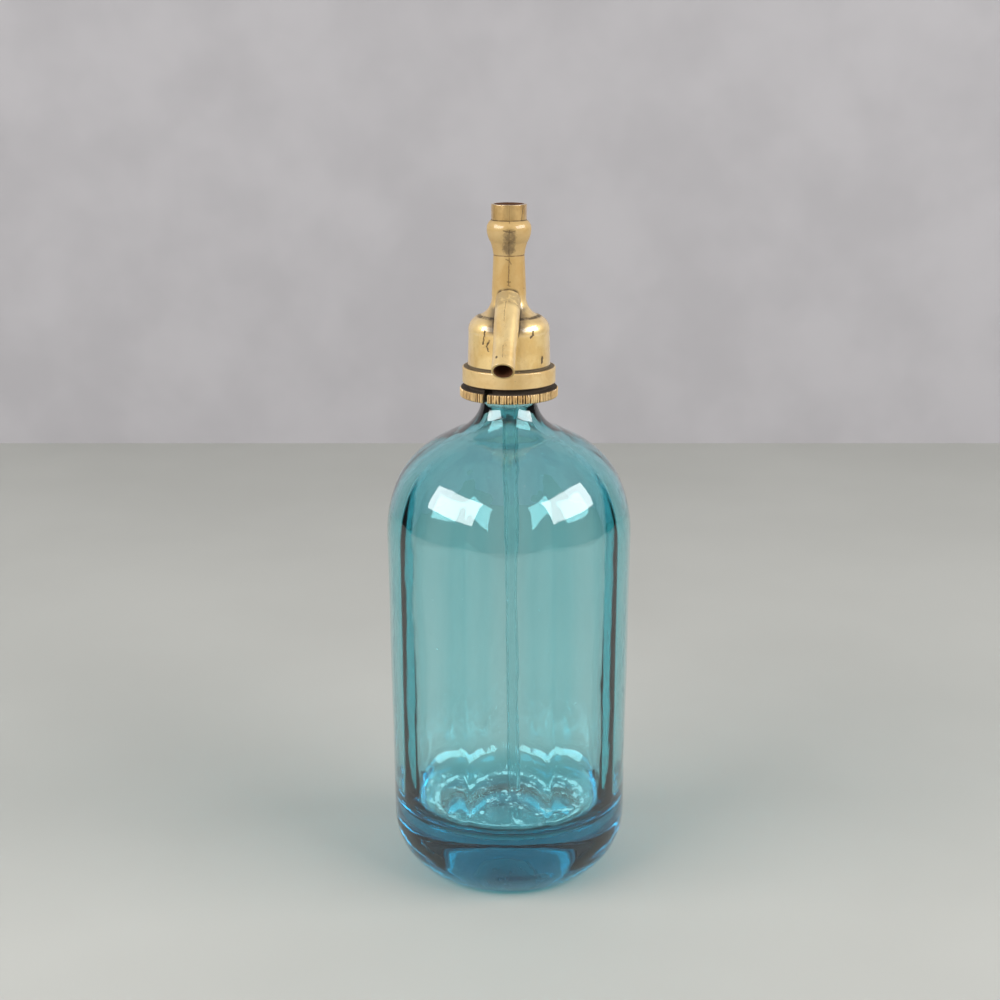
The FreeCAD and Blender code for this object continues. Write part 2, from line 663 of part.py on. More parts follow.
def spout_cylinder(label, radius, length, seat):
    """A cylinder along the spout that starts at the saddle wall."""
    blank = doc.addObject("Part::Cylinder", label + "_blank")
    bind(blank, Radius=radius, Height=length)
    lay_on_spout_axis(blank)
    cut = doc.addObject("Part::Cut", label)
    cut.Base = blank
    cut.Tool = saddle(label + "_saddle", seat)
    return cut


def make_spout():
    """The spout: a tapered tube, cut to seat on the neck's wall."""
    tube = new_body("spout_tube")
    pieces.remove(tube)
    revolve(tube, "brass", [
        ("spout_bore", "0"),
        ("spout_radius", "0"),
        ("spout_radius", "spout_root"),
        ("spout_tip_radius", "spout_reach - spout_mouth"),
        ("spout_tip_radius", "spout_reach - spout_round"),
        ("spout_tip_radius - spout_round", "spout_reach", "spout_round", "left"),
        ("mouth_bore", "spout_reach"),
        ("mouth_bore", "spout_reach - mouth_depth"),
        ("spout_bore", "spout_reach - mouth_depth"),
    ])
    lay_on_spout_axis(tube)
    spout = doc.addObject("Part::Cut", "spout")
    spout.Label = "spout"
    spout.Base = tube
    spout.Tool = saddle("spout_seat", "spout_saddle")
    pieces.append(spout)


def make_valve():
    """The seat, and what the nut clamps on the stem's tail."""
    seat = new_body("valve_seat")
    revolve(seat, "ring", [
        ("seat_bore", "seat_face + seat_bevel"),
        ("seat_bore + seat_bevel", "seat_face"),
        ("seat_radius", "seat_face"),
        ("seat_radius", "seat_top"),
        ("seat_bore", "seat_top"),
    ])
    on_head(seat)
    hole = "tail_radius + press_gap"
    rubber_top = "seat_face - rest_gap / 2"
    rubber_foot = rubber_top + " - rubber_height"
    ring("valve_rubber", "rubber_radius", hole, rubber_foot, "rubber_height")
    cup = new_body("valve_cup")
    cup_foot = rubber_foot + " - cup_height"
    revolve(cup, "brass", [
        (hole, cup_foot),
        ("cup_radius - cup_bevel", cup_foot),
        ("cup_radius", cup_foot + " + cup_bevel"),
        ("cup_radius", rubber_foot + " + cup_rim"),
        ("rubber_radius + press_gap", rubber_foot + " + cup_rim"),
        ("rubber_radius + press_gap", rubber_foot),
        (hole, rubber_foot),
    ])
    on_head(cup)
    nut_foot = cup_foot + " - nut_height"
    prism = doc.addObject("Part::Prism", "valve_nut_blank")
    prism.Polygon = 6
    bind(prism, Circumradius="nut_radius", Height="nut_height")
    bore = doc.addObject("Part::Cylinder", "valve_nut_bore")
    bind(bore, Radius=hole, Height="nut_height")
    nut = doc.addObject("Part::Cut", "valve_nut")
    nut.Label = "valve_nut"
    nut.Base = prism
    nut.Tool = bore
    place(nut, z="lip_top + " + nut_foot)
    pieces.append(nut)
    make_stem(rubber_top, nut_foot)


def make_stem(shoulder, nut_foot):
    """The stem: threaded tail, rod, and a forked head with a crowned floor."""
    body = new_body("valve_stem")
    fork_top = "fork_foot + fork_height"
    revolve(body, "rod", [
        ("0", nut_foot + " - tail_reach"),
        ("tail_radius - tail_bevel", nut_foot + " - tail_reach"),
        ("tail_radius", nut_foot + " - tail_reach + tail_bevel"),
        ("tail_radius", shoulder),
        ("stem_radius", shoulder),
        ("stem_radius", "fork_foot"),
        ("fork_radius - fork_bevel", "fork_foot"),
        ("fork_radius", "fork_foot + fork_bevel"),
        ("fork_radius", fork_top + " - fork_round"),
        ("fork_radius - fork_round", fork_top, "fork_round", "left"),
        ("0", fork_top),
    ])
    sketch = new_sketch(body, "fork_slot", "YZ_Plane")
    edge = "fork_floor - fork_crown + sqrt(fork_crown ^ 2 - fork_radius ^ 2)"
    outline(sketch, [
        ("-fork_radius", edge),
        ("fork_radius", edge, "fork_crown", "right"),
        ("fork_radius", fork_top + " + cut_past"),
        ("-fork_radius", fork_top + " + cut_past"),
    ])
    pocket_through(body, sketch, "2 * slot_half_width")
    on_head(body)


def make_gland():
    """The packing round the stem, its washer, and the nut that squeezes it."""
    bore = "stem_radius + running_gap"
    outer = "gland_radius - press_gap"
    ring("stem_packing", outer, bore, "packing_floor", "packing_height")
    ring("packing_washer", outer, bore, "packing_top", "packing_washer_height")
    nut = new_body("gland_nut")
    revolve(nut, "brass", [
        (bore, "gland_foot"),
        (outer + " - gland_bevel", "gland_foot"),
        (outer, "gland_foot + gland_bevel"),
        (outer, "gland_nut_top"),
        (bore, "gland_nut_top"),
    ])
    slot = new_sketch(nut, "driver_slot", "YZ_Plane")
    outline(slot, [
        ("-gland_slot_width / 2", "gland_nut_top - gland_slot_depth"),
        ("gland_slot_width / 2", "gland_nut_top - gland_slot_depth"),
        ("gland_slot_width / 2", "gland_nut_top + cut_past"),
        ("-gland_slot_width / 2", "gland_nut_top + cut_past"),
    ])
    pocket_through(nut, slot, "4 * gland_radius")
    on_head(nut)
    ring("spring_washer", "gland_radius - working_gap", bore, "gland_nut_top",
         "spring_washer_height")


def biarc(start, start_way, end, end_way):
    """Two tangent arcs from one point and direction to another, as edges."""
    chord = end - start
    ways = start_way + end_way
    turn = 2 * (1 - start_way.dot(end_way))
    along = chord.dot(ways)
    reach = (-along + math.sqrt(along ** 2 + turn * chord.dot(chord))) / turn
    first_corner = start + start_way * reach
    last_corner = end - end_way * reach
    joint = (first_corner + last_corner) * 0.5
    edges = []
    for begin, corner, finish in ((start, first_corner, joint), (joint, last_corner, end)):
        middle = (begin + finish) * 0.5
        half_chord = (begin - middle).Length
        rise = (corner - middle).Length
        radius = half_chord * reach / rise
        sagitta = radius - math.sqrt(radius ** 2 - half_chord ** 2)
        crown = middle + (corner - middle).normalize() * sagitta
        edges.append(Part.Arc(begin, crown, finish).toShape())
    return edges


def make_spring():
    """An open helix of round wire between its washer and the fork."""
    radius = size("spring_radius")
    wire_radius = size("spring_wire")
    turns = size("spring_turns")
    foot = size("spring_foot") + wire_radius
    top = size("fork_foot") - wire_radius
    climb = (top - foot) / turns / (2 * math.pi)

    def point(angle):
        return Vector(radius * math.cos(angle), radius * math.sin(angle), foot + climb * angle)

    def way(angle):
        return Vector(-radius * math.sin(angle), radius * math.cos(angle), climb).normalize()

    half_turns = round(turns * 2)
    edges = []
    for number in range(half_turns):
        begin, finish = number * math.pi, (number + 1) * math.pi
        edges += biarc(point(begin), way(begin), point(finish), way(finish))
    path = Part.Wire(edges)
    section = Part.Wire([Part.Circle(point(0), way(0), wire_radius).toShape()])
    spring = doc.addObject("Part::Feature", "return_spring")
    spring.Label = "return_spring"
    spring.Shape = path.makePipeShell([section], True, False)
    on_head(spring)
    pieces.append(spring)
    pitch = climb * 2 * math.pi
    step_angle = turns * 2 * math.pi / SPRING_SAMPLES
    samples = [point(step * step_angle) for step in range(SPRING_SAMPLES + 1)]
    half_turn = int(math.pi / step_angle)
    gap = min(
        (first - second).Length
        for number, first in enumerate(samples)
        for second in samples[number + half_turn:]
    ) - 2 * wire_radius
    print("spring pitch", round(pitch, 3), "least gap to itself", round(gap, 3))


def make_lever():
    """The lever, drawn from its pin: hook, blade, bow, tail and thumb pad."""
    body = new_body("lever")
    half = "blade_height / 2"
    hook = "pin_radius + running_gap"
    minus_hook = "-pin_radius - running_gap"
    tail_y = "(bow_start + bow_radius * sin(bow_angle) + tail_length * cos(bow_angle))"
    tail_z = "(-bow_radius * (1 - cos(bow_angle)) - tail_length * sin(bow_angle))"
    tangent = "sqrt(hook_radius ^ 2 - (blade_height / 2) ^ 2)"
    side = new_sketch(body, "side", "YZ_Plane")
    outline(side, [
        (hook, half),
        (hook, "0"),
        ("0", minus_hook, hook, "right"),
        (minus_hook, "0", hook, "right"),
        (minus_hook, "sqrt(hook_radius ^ 2 - (" + hook + ") ^ 2)"),
        ("-hook_radius", "0", "hook_radius", "left"),
        ("0", "-hook_radius", "hook_radius", "left"),
        (tangent, "-" + half, "hook_radius", "left"),
        ("bow_start", "-" + half),
        ("bow_start + (bow_radius - " + half + ") * sin(bow_angle)",
         "-bow_radius + (bow_radius - " + half + ") * cos(bow_angle)",
         "bow_radius - " + half, "right"),
        (tail_y + " - " + half + " * sin(bow_angle)",
         tail_z + " - " + half + " * cos(bow_angle)"),
        (tail_y + " + " + half + " * sin(bow_angle)",
         tail_z + " + " + half + " * cos(bow_angle)", half + " + tip_flat", "left"),
        ("bow_start + (bow_radius + " + half + ") * sin(bow_angle)",
         "-bow_radius + (bow_radius + " + half + ") * cos(bow_angle)"),
        ("bow_start", half, "bow_radius + " + half, "left"),
    ])
    pad = body.newObject("PartDesign::Pad", "lever_pad")
    pad.Profile = side
    pad.SideType = "Symmetric"
    bind(pad, Length="2 * tail_half_width")
    doc.recompute()
    blade = new_sketch(body, "blade", "XY_Plane")
    plan = new_sketch(body, "front", "XZ_Plane")
    for sign, tag in (("", "r"), ("-", "l")):
        outline(blade, [
            (sign + "blade_half_width", "-2 * hook_radius"),
            (sign + "blade_half_width", "blade_end"),
            (sign + "2 * tail_half_width", "blade_end"),
            (sign + "2 * tail_half_width", "-2 * hook_radius"),
        ], tag)
        outline(plan, [
            (sign + "shank_half_width", "2 * blade_height"),
            (sign + "shank_half_width", tail_z + " + pad_height + pad_taper"),
            (sign + "tail_half_width", tail_z + " + pad_height"),
            (sign + "2 * tail_half_width", tail_z + " + pad_height"),
            (sign + "2 * tail_half_width", "2 * blade_height"),
        ], tag)
    pocket_through(body, blade, "8 * hook_radius")
    pocket_through(body, plan, "4 * " + tail_y)
    place(body, y="-fulcrum_reach", z="lip_top + fulcrum_height")


def make_pin_and_collar():
    """The fulcrum pin, and the pressed-in collar whose lugs hold the pin down."""
    pin = doc.addObject("Part::Cylinder", "fulcrum_pin")
    pin.Label = "fulcrum_pin"
    bind(pin, Radius="pin_radius", Height="2 * pin_half_length")
    pin.Placement.Rotation = Rotation(Vector(0, 1, 0), 90)
    place(pin, x="-pin_half_length", y="-fulcrum_reach", z="lip_top + fulcrum_height")
    pieces.append(pin)
    body = new_body("top_collar")
    outer = "counterbore_radius - press_gap"
    top = "bulb_top + collar_height"
    revolve(body, "brass", [
        ("head_bore", "fulcrum_height"),
        (outer, "fulcrum_height"),
        (outer, "bulb_top"),
        ("collar_radius", "bulb_top"),
        ("collar_radius", top + " - collar_round"),
        ("collar_radius - collar_round", top, "collar_round", "left"),
        ("socket_radius", top),
        ("socket_radius", "socket_floor"),
        ("head_bore", "socket_floor"),
    ])
    slot = new_sketch(body, "lever_slot", "YZ_Plane")
    outline(slot, [
        ("-2 * counterbore_radius", "fulcrum_height - cut_past"),
        ("2 * counterbore_radius", "fulcrum_height - cut_past"),
        ("2 * counterbore_radius", "fulcrum_height + hook_radius + working_gap"),
        ("-2 * counterbore_radius", "fulcrum_height + hook_radius + working_gap"),
    ])
    pocket_through(body, slot, "2 * slot_half_width")
    groove = new_sketch(body, "pin_groove", "YZ_Plane")
    circle(groove, "-fulcrum_reach", "fulcrum_height", "pin_radius + press_gap")
    pocket_through(body, groove, "2 * (pin_half_length + press_gap)")
    on_head(body)


def fill_sheet():
    """Write each driving size as a labelled, named cell."""
    for row, (name, value, meaning) in enumerate(DRIVING_SIZES, 1):
        sheet.set("A" + str(row), meaning)
        sheet.set("B" + str(row), str(value))
        sheet.setAlias("B" + str(row), name)
    doc.recompute()


def check_document():
    """Stop if any object failed or any piece has no sound shape."""
    doc.recompute()
    for item in doc.Objects:
        if "Invalid" in item.State or "Error" in item.State:
            raise RuntimeError(item.Name + " failed: " + str(item.State))
    for piece in pieces:
        if piece.Shape.isNull() or not piece.Shape.isValid() or not piece.Shape.Solids:
            raise RuntimeError(piece.Label + " has no sound shape")


def write_parts():
    """One file for each piece."""
    os.makedirs("parts", exist_ok=True)
    for piece in pieces:
        piece.Shape.exportStep(os.path.join("parts", piece.Label + ".step"))
        box = piece.Shape.BoundBox
        print(piece.Label, len(piece.Shape.Solids), "solids,", round(piece.Shape.Volume), "mm3,",
              "z", round(box.ZMin, 2), "to", round(box.ZMax, 2))


doc = FreeCAD.newDocument("soda_siphon")
sheet = doc.addObject("Spreadsheet::Sheet", SHEET)
pieces = []
fill_sheet()
make_bottle()
make_dip_tube()
make_tube_holder()
make_neck_ring()
make_head_body()
make_spout()
make_valve()
make_gland()
make_spring()
make_lever()
make_pin_and_collar()
check_document()
write_parts()
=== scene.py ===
import bpy
import bmesh
import math
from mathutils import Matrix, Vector, noise


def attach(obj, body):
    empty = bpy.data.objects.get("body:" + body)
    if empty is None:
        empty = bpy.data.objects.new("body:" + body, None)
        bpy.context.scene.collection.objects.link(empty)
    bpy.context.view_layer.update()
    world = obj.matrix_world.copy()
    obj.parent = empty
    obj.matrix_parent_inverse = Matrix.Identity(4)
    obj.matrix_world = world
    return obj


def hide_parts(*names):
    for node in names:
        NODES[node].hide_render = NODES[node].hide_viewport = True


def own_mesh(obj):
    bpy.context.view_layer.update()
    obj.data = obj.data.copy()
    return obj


# The soda siphon's looks: glass, brass and their marks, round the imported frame.
# Lengths in tables and materials are in millimetres, in the frame's directions.

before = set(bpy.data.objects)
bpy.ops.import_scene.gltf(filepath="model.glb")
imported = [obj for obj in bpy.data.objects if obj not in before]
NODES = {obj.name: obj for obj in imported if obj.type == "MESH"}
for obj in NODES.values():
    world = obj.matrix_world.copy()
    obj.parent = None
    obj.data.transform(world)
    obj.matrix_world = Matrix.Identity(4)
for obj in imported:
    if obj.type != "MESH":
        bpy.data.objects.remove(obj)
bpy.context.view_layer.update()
MM = 0.001

SPOUT_HEIGHT = 263.393
SPOUT_SLOPE = math.radians(39.0)
SPOUT_WAY = Vector((0, -math.cos(SPOUT_SLOPE), -math.sin(SPOUT_SLOPE)))
SPOUT_START = Vector((0, 0, SPOUT_HEIGHT))


def srgb(red, green, blue):
    """A screen colour of 0 to 255 as the shader's linear colour."""
    channels = []
    for value in (red, green, blue):
        part = value / 255
        channels.append(part / 12.92 if part < 0.04045 else ((part + 0.055) / 1.055) ** 2.4)
    return (*channels, 1.0)


SHAKE_SCALE = 1.1


class Look:
    """One material's nodes, built with short calls."""

    def __init__(self, name):
        self.material = bpy.data.materials.new(name)
        self.material.use_nodes = True
        tree = self.material.node_tree
        self.nodes = tree.nodes
        self.links = tree.links
        self.shader = self.nodes["Principled BSDF"]
        self.output = self.nodes["Material Output"]
        self.spot = None

    def feed(self, socket, value):
        if isinstance(value, bpy.types.NodeSocket):
            self.links.new(value, socket)
        elif value is not None:
            socket.default_value = value

    def node(self, kind, inputs, output=0, **settings):
        made = self.nodes.new("ShaderNode" + kind)
        for key, value in settings.items():
            setattr(made, key, value)
        for key, value in inputs.items():
            self.feed(made.inputs[key], value)
        return made.outputs[output]

    def place(self):
        """Where a point lies, in millimetres."""
        if self.spot is None:
            where = self.node("TexCoord", {}, "Object")
            self.spot = self.node("VectorMath", {0: where, "Scale": 1 / MM}, operation="SCALE")
        return self.spot

    def math(self, operation, first, second=None, third=None, clamp=False):
        return self.node("Math", {0: first, 1: second, 2: third},
                         operation=operation, use_clamp=clamp)

    def smooth(self, value, low, high, start=0.0, end=1.0):
        return self.node("MapRange", {"Value": value, "From Min": low, "From Max": high,
                                      "To Min": start, "To Max": end},
                         interpolation_type="SMOOTHSTEP")

    def mix(self, factor, first, second):
        return self.node("Mix", {0: factor, 6: first, 7: second}, 2, data_type="RGBA")

    def noise(self, scale, detail=3.0, rough=0.5, stretch=None, distortion=0.0):
        where = self.place()
        if stretch:
            where = self.node("VectorMath", {0: where, 1: stretch}, operation="MULTIPLY")
        return self.node("TexNoise", {"Vector": where, "Scale": scale, "Detail": detail,
                                      "Roughness": rough, "Distortion": distortion})

    def part(self, axis):
        return self.node("SeparateXYZ", {0: self.place()}, axis)

    def radius(self):
        """Distance from the bottle's axis."""
        flat = self.node("VectorMath", {0: self.place(), 1: (1, 1, 0)}, operation="MULTIPLY")
        return self.node("VectorMath", {0: flat}, "Value", operation="LENGTH")

    def from_spout_axis(self):
        offset = self.node("VectorMath", {0: self.place(), 1: SPOUT_START}, operation="SUBTRACT")
        across = self.node("VectorMath", {0: offset, 1: SPOUT_WAY}, operation="CROSS_PRODUCT")
        return self.node("VectorMath", {0: across}, "Value", operation="LENGTH")

    def along_spout(self):
        offset = self.node("VectorMath", {0: self.place(), 1: SPOUT_START}, operation="SUBTRACT")
        return self.node("VectorMath", {0: offset, 1: SPOUT_WAY}, "Value", operation="DOT_PRODUCT")

    def all_of(self, *masks):
        total = masks[0]
        for mask in masks[1:]:
            total = self.math("MULTIPLY", total, mask)
        return total

    def any_of(self, *masks):
        total = masks[0]
        for mask in masks[1:]:
            total = self.math("MAXIMUM", total, mask)
        return total

    def band(self, value, low, high, soft):
        """One between low and high, fading over the soft width outside them."""
        return self.all_of(self.smooth(value, low - soft, low),
                           self.smooth(value, high + soft, high))

    def cracks(self, lines, width, wander=0.35, soft=0.25):
        """Dark marks along lines of points, with an uneven edge."""
        shake = self.node("TexNoise", {"Vector": self.place(), "Scale": SHAKE_SCALE, "Detail": 2.0},
                          "Color")
        shake = self.node("VectorMath", {0: shake, 1: (0.5, 0.5, 0.5)}, operation="SUBTRACT")
        shake = self.node("VectorMath", {0: shake, "Scale": wander * 2}, operation="SCALE")
        where = self.node("VectorMath", {0: self.place(), 1: shake}, operation="ADD")
        nearest = None
        for line in lines:
            for first, last in zip(line, line[1:]):
                run = Vector(last) - Vector(first)
                offset = self.node("VectorMath", {0: where, 1: first}, operation="SUBTRACT")
                share = self.node("VectorMath", {0: offset, 1: run / run.length_squared}, "Value",
                                  operation="DOT_PRODUCT")
                share = self.math("MULTIPLY", share, 1.0, clamp=True)
                along = self.node("VectorMath", {0: run, "Scale": share}, operation="SCALE")
                gap = self.node("VectorMath", {0: offset, 1: along}, "Value", operation="DISTANCE")
                nearest = gap if nearest is None else self.math("MINIMUM", nearest, gap)
        return self.smooth(nearest, width / 2 + soft, width / 2 - soft / 2)

    def bump(self, height, distance):
        """Relief of a height of 0 to 1 times a distance in millimetres."""
        return self.node("Bump", {"Height": height, "Distance": distance * MM, "Strength": 1.0})

    def share(self, mask, part):
        """A mask at a part of its strength."""
        return self.math("MULTIPLY", mask, part)


def dress(names, look):
    for name in names:
        slots = NODES[name].data.materials
        slots.clear()
        slots.append(look.material)


def add_piece(name, body, slot, look, *replaced):
    """Give a new mesh object its place in the frame and its material."""
    mesh = bpy.data.meshes.new(name)
    piece = bpy.data.objects.new(name, mesh)
    bpy.context.scene.collection.objects.link(piece)
    mesh.materials.append(look.material)
    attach(piece, body)
    if replaced:
        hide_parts(*replaced)
    return piece


# Glass

LOBES = 8
LOBE_TURN = 4.0
BOTTLE_STEPS = 240
WALL_TOP, FADE_TOP = 150.0, 208.0
RIB_RADIUS = 46.0
LOBE_OFFSET = 19.7
LOBE_BEND = 28.8
RIB_SOFTNESS = 0.16
INNER_FLOOR = 26.6
LOBE_RISE, LOBE_RISE_POWER = 26, 0.7
LOBE_FULL_RADIUS = 40
NECK_RADIUS = 12
WAVE_ROUND, WAVE_HEIGHT = 2.2, 38
INNER_WAVE, INNER_SEED = 0.3, 7.0
OUTER_WAVE, OUTER_SEED, OUTER_INSET = 0.16, 0.0, 0.1
OUTER_WAVE_FOOT, OUTER_WAVE_TOP, OUTER_WAVE_RADIUS = 13, 200, 20
GLASS_SHARP = math.radians(40)

# Profiles of (radius, height, steps) on a line and (radius, height, bend, turn, steps) on an arc
OUTSIDE = [
    (0, 9), (33, 0, 65, "right", 16), (39.3, 0, 4), (52.8, 24, 29, "left", 18),
    (54, 156, 30), (48.3, 182, 57, "left", 12), (31.5, 198.6, 43, "left", 14), (24, 202.3, 4),
    (12.1, 215, 16, "right", 18), (12.1, 224.2, 6), (14.6, 224.2, 3), (14.6, 229.8, 4),
    (13.4, 231, 1.2, "left", 5),
]
INSIDE = [
    (0, INNER_FLOOR), (31.6, 26, 14), (32.4, 26.5, 2), (RIB_RADIUS, 39.5, 13.6, "left", 14),
    (RIB_RADIUS, 154, 40), (41.8, 178.5, 56, "left", 12), (27.6, 193.2, 38, "left", 12),
    (21.2, 196.8, 4), (8.2, 210.8, 18.5, "right", 14), (8.2, 231, 10),
]


def arc_points(start, end, radius, turn, steps):
    """Points after start up to end, on the arc of under a half circle between them."""
    chord = end - start
    left = Vector((-chord.y, chord.x)).normalized()
    offset = math.sqrt(max(0, radius ** 2 - (chord.length / 2) ** 2))
    centre = (start + end) / 2 + left * (offset if turn == "left" else -offset)
    first = math.atan2(start.y - centre.y, start.x - centre.x)
    last = math.atan2(end.y - centre.y, end.x - centre.x)
    sweep = (last - first + math.pi) % (2 * math.pi) - math.pi
    angles = [first + sweep * step / steps for step in range(1, steps + 1)]
    return [centre + Vector((math.cos(angle), math.sin(angle))) * radius for angle in angles]


def trace(corners):
    """Points along a profile of lines and arcs."""
    points = [Vector(corners[0])]
    for corner in corners[1:]:
        start, end = points[-1], Vector(corner[:2])
        if len(corner) == 3:
            points += [start.lerp(end, step / corner[2]) for step in range(1, corner[2] + 1)]
        else:
            points += arc_points(start, end, *corner[2:])
    return points


def lobe_depth(angle, height):
    """How much deeper than a rib the wall is cut at an angle, from the lobes' arcs."""
    spacing = 2 * math.pi / LOBES
    apart = (angle + spacing / 2) % spacing - spacing / 2
    side = LOBE_OFFSET * math.sin(apart)
    reach = LOBE_OFFSET * math.cos(apart) + math.sqrt(LOBE_BEND ** 2 - side ** 2)
    rounded = soft_max(reach - RIB_RADIUS, 0.0, RIB_SOFTNESS)
    fade = min(1.0, max(0.0, (FADE_TOP - height) / (FADE_TOP - WALL_TOP)))
    rise = min(1.0, max(0.0, (height - INNER_FLOOR) / LOBE_RISE)) ** LOBE_RISE_POWER
    return rounded * fade * fade * (3 - 2 * fade) * rise


def soft_max(first, second, width):
    return (first + second + math.sqrt((first - second) ** 2 + width ** 2)) / 2


def ripple(angle, height, size, seed):
    """Slow waves in the glass, up to about size."""
    spot = Vector((math.cos(angle) * WAVE_ROUND, math.sin(angle) * WAVE_ROUND,
                   height / WAVE_HEIGHT + seed))
    return noise.noise(spot) * size


def bottle_mesh(piece):
    """One closed skin: up the outside, over the lip and down the inside."""
    outside = trace(OUTSIDE)
    inside = trace(INSIDE)
    inside.reverse()
    mesh = bmesh.new()
    rows = []
    for number, point in enumerate(outside + inside):
        is_inside = number >= len(outside)
        radius, height = point
        if radius < 0.01:
            rows.append([mesh.verts.new((0, 0, height * MM))])
            continue
        row = []
        for step in range(BOTTLE_STEPS):
            angle = 2 * math.pi * step / BOTTLE_STEPS
            reach = radius
            if is_inside:
                turned = angle + math.pi / 2 - math.radians(LOBE_TURN)
                if radius > NECK_RADIUS:
                    reach += lobe_depth(turned, height) * min(1.0, radius / LOBE_FULL_RADIUS)
                    reach += ripple(angle, height, INNER_WAVE, INNER_SEED)
            elif OUTER_WAVE_FOOT < height < OUTER_WAVE_TOP and radius > OUTER_WAVE_RADIUS:
                reach += ripple(angle, height, OUTER_WAVE, OUTER_SEED) - OUTER_INSET
            row.append(mesh.verts.new((reach * math.cos(angle) * MM, reach * math.sin(angle) * MM,
                                       height * MM)))
        rows.append(row)
    for lower, upper in zip(rows, rows[1:]):
        for step in range(BOTTLE_STEPS):
            following = (step + 1) % BOTTLE_STEPS
            corners = [lower[step % len(lower)], lower[following % len(lower)],
                       upper[following % len(upper)], upper[step % len(upper)]]
            unique = list(dict.fromkeys(corners))
            mesh.faces.new(unique).smooth = True
    bmesh.ops.recalc_face_normals(mesh, faces=mesh.faces)
    for edge in mesh.edges:
        if len(edge.link_faces) == 2 and edge.calc_face_angle() > GLASS_SHARP:
            edge.smooth = False
    mesh.to_mesh(piece.data)
    mesh.free()


GLASS_IOR = 1.5
FLOOR_RIM = 33.0


def glass(name, absorb, density, tint, gloss, marks=None):
    """Clear glass with a colour in its thickness, which lets lamps through."""
    look = Look(name)
    shader = look.shader
    shader.inputs["Base Color"].default_value = (1, 1, 1, 1)
    shader.inputs["Roughness"].default_value = 0.0
    shader.inputs["IOR"].default_value = GLASS_IOR
    shader.inputs["Transmission Weight"].default_value = 1.0
    shader.inputs["Coat Weight"].default_value = gloss
    shader.inputs["Coat Roughness"].default_value = 0.0
    shader.inputs["Coat IOR"].default_value = GLASS_IOR
    if marks:
        marks(look)
    path = look.node("LightPath", {}, "Is Shadow Ray")
    clear = look.node("BsdfTransparent", {"Color": tint})
    mixed = look.node("MixShader", {0: path, 1: shader.outputs[0], 2: clear})
    look.feed(look.output.inputs["Surface"], mixed)
    volume = look.node("VolumeAbsorption", {"Color": absorb, "Density": density})
    look.feed(look.output.inputs["Volume"], volume)
    return look


def bottle_marks(look):
    """Lime on the inside floor and walls, and a slightly uneven surface."""
    height = look.part("Z")
    radius = look.radius()
    inside = look.all_of(look.smooth(radius, 49.3, 48.9), look.smooth(height, 25.0, 25.8),
                         look.smooth(height, 200.0, 190.0))
    low = look.smooth(height, 30.0, 27.4)
    film = look.smooth(look.noise(0.13, 6.0, 0.72), 0.565, 0.62)
    grains = look.smooth(look.noise(0.9, 4.0, 0.65), 0.62, 0.68)
    edge = look.all_of(look.smooth(radius, 30.6, 32.0), look.smooth(radius, 35.0, FLOOR_RIM),
                       look.smooth(look.noise(0.2, 5.0, 0.7), 0.42, 0.56, 0.25, 1.0))
    floor = look.math("MULTIPLY", low, look.any_of(film, grains, edge))
    specks = look.smooth(look.noise(0.55, 3.0, 0.6), 0.715, 0.745)
    lime = look.math("MULTIPLY", inside,
                     look.any_of(look.share(floor, 0.85), look.share(specks, 0.5)))
    look.feed(look.shader.inputs["Transmission Weight"], look.math("SUBTRACT", 1.0, lime))
    look.feed(look.shader.inputs["Roughness"], look.math("MULTIPLY", lime, 0.5))
    shallow = look.noise(0.07, 2.0, 0.45, stretch=(1, 1, 0.45))
    look.feed(look.shader.inputs["Normal"], look.bump(shallow, 0.35))


bottle_look = glass("bottle_glass", absorb=(0.03, 0.825, 0.885, 1), density=80.0,
                    tint=(0.46, 0.52, 0.53, 1), gloss=0.7, marks=bottle_marks)
tube_look = glass("tube_glass", absorb=(0.30, 0.76, 0.80, 1), density=190.0,
                  tint=(0.9, 0.95, 0.95, 1), gloss=1.0)
bottle = add_piece("bottle_glass_body", "root", "bottle_glass", bottle_look, "bottle")
bottle_mesh(bottle)
dress(["dip_tube"], tube_look)


# Brass

PALE = srgb(247, 215, 149)
WARM = srgb(233, 194, 122)
DEEP = srgb(188, 144, 86)
SOOT = srgb(38, 28, 20)
RUST = srgb(74, 30, 14)
AGED = srgb(160, 124, 68)
BRASS_RELIEF, BRASS_METALLIC = 0.25, 0.55
POLISH_ROUGHNESS, POLISH_IOR = 0.045, 1.9


